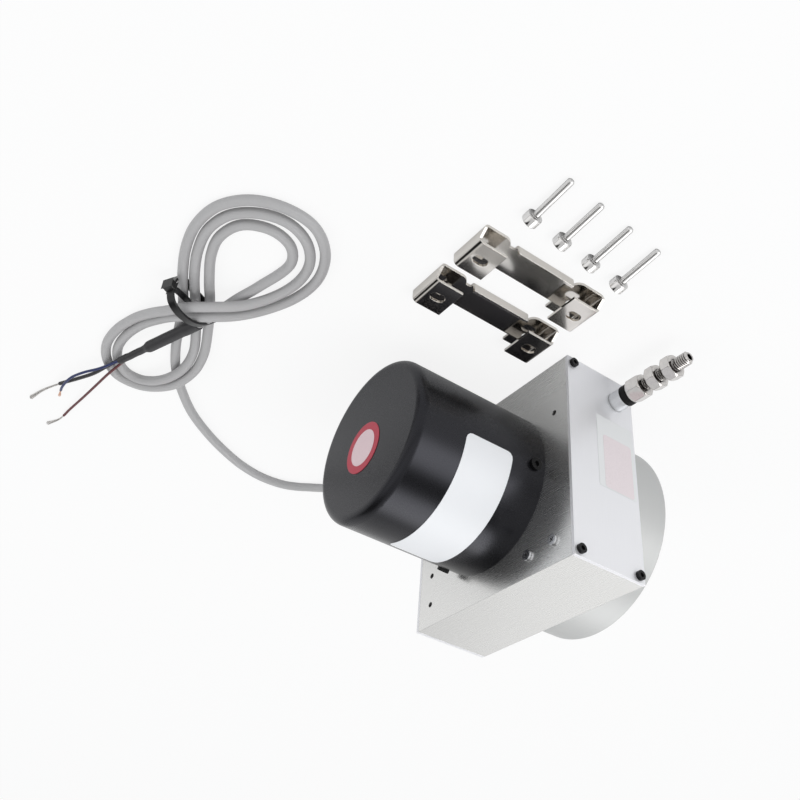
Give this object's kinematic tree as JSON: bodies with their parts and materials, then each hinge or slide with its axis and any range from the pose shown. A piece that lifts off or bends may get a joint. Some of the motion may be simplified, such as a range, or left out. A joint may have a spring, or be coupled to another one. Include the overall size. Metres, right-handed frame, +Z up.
{
  "type": "draw wire encoder",
  "caption": "Draw wire encoder: a boxed wire drum with a spring housing on one side, a round sensor cover on the other, a stud fitting on the wire, a cable and a loose mounting kit.",
  "frame": {"origin": "middle of the housing's base face", "axes": "+X the way the wire leaves, +Y the way the round sensor cover points, +Z up"},
  "size_m": [0.2888, 0.2439, 0.1],
  "materials": {
    "brushed_aluminium": "brushed, anodised natural",
    "bright_plate": "fine satin, anodised natural",
    "black_steel": "black oxide",
    "bright_steel": "nickel plated",
    "turned_aluminium": "turned",
    "bearing_steel": "ground",
    "spring_steel": "phosphated",
    "wire_rope": "stranded",
    "cup_aluminium": "fine turned, anodised natural",
    "sensor_blue": "moulded",
    "brass": "turned",
    "board_green": "solder resist",
    "terminal_green": "moulded",
    "satin_charcoal": "satin anodised",
    "label_white": "matt film",
    "disc_red": "printed film",
    "gland_black": "moulded nylon",
    "guide_white": "acetal",
    "rubber_black": "moulded",
    "copper_crimp": "crimped",
    "bright_nickel": "nickel plated sheet",
    "cable_grey": "smooth PVC",
    "shrink_black": "shrunk tube",
    "core_blue": "extruded",
    "core_red": "extruded",
    "tie_black": "moulded nylon"
  },
  "bodies": {
    "root": {"housing": "brushed_aluminium", "outlet_plate": "bright_plate", "rear_plate": "bright_plate", "end_plate_screws": "black_steel", "face_screws": "bright_steel", "cover_flange": "turned_aluminium", "spring_flange": "turned_aluminium", "flange_screws": "black_steel", "front_bearing": "bearing_steel", "rear_bearing": "bearing_steel", "main_spring": "spring_steel", "spring_housing": "cup_aluminium", "spring_housing_screws": "black_steel", "multiturn_sensor": "sensor_blue", "sensor_bracket": "turned_aluminium", "sensor_standoffs": "brass", "board_standoffs": "brass", "circuit_board": "board_green", "terminal_block": "terminal_green", "sensor_cover": "satin_charcoal", "cover_screws": "black_steel", "cover_label": "label_white", "cover_disc": "disc_red", "cable_gland": "gland_black", "gland_nut": "gland_black", "outlet_bush": "bright_steel", "wire_guide": "guide_white", "bumper_ring": "rubber_black", "bracket_inner": "bright_nickel", "bracket_outer": "bright_nickel", "bracket_screws": "bright_steel", "cable": "cable_grey", "heat_shrink": "shrink_black", "core_blue": "core_blue", "core_red": "core_red", "core_shield": "shrink_black", "cable_tie": "tie_black"},
    "drum": {"drum": "turned_aluminium", "drum_shaft": "bearing_steel", "retaining_rings": "spring_steel", "spring_arbor": "bearing_steel", "grub_screws": "black_steel", "wire_winding": "wire_rope", "shaft_coupling": "turned_aluminium", "sensor_shaft": "bearing_steel"},
    "wire_end": {"end_fitting": "bright_steel", "draw_wire": "wire_rope", "fitting_nuts": "bright_steel", "wire_ferrule": "copper_crimp"}
  },
  "joints": [
    {"name": "drum_spin", "type": "hinge", "parent": "root", "child": "drum", "pos_m": [-0.002, 0, 0.049], "axis": [0, -1, 0], "range_deg": [0, 1569], "stiffness_Nm_per_rad": 0.004, "springref_deg": -2578.31},
    {"name": "wire_draw", "type": "slide", "parent": "root", "child": "wire_end", "axis": [1, 0, 0], "range_m": [0, 1], "deforming": ["draw_wire"]}
  ],
  "couplings": [
    {"joint": "wire_draw", "follows": "drum_spin", "m_per_rad": 0.0365}
  ]
}
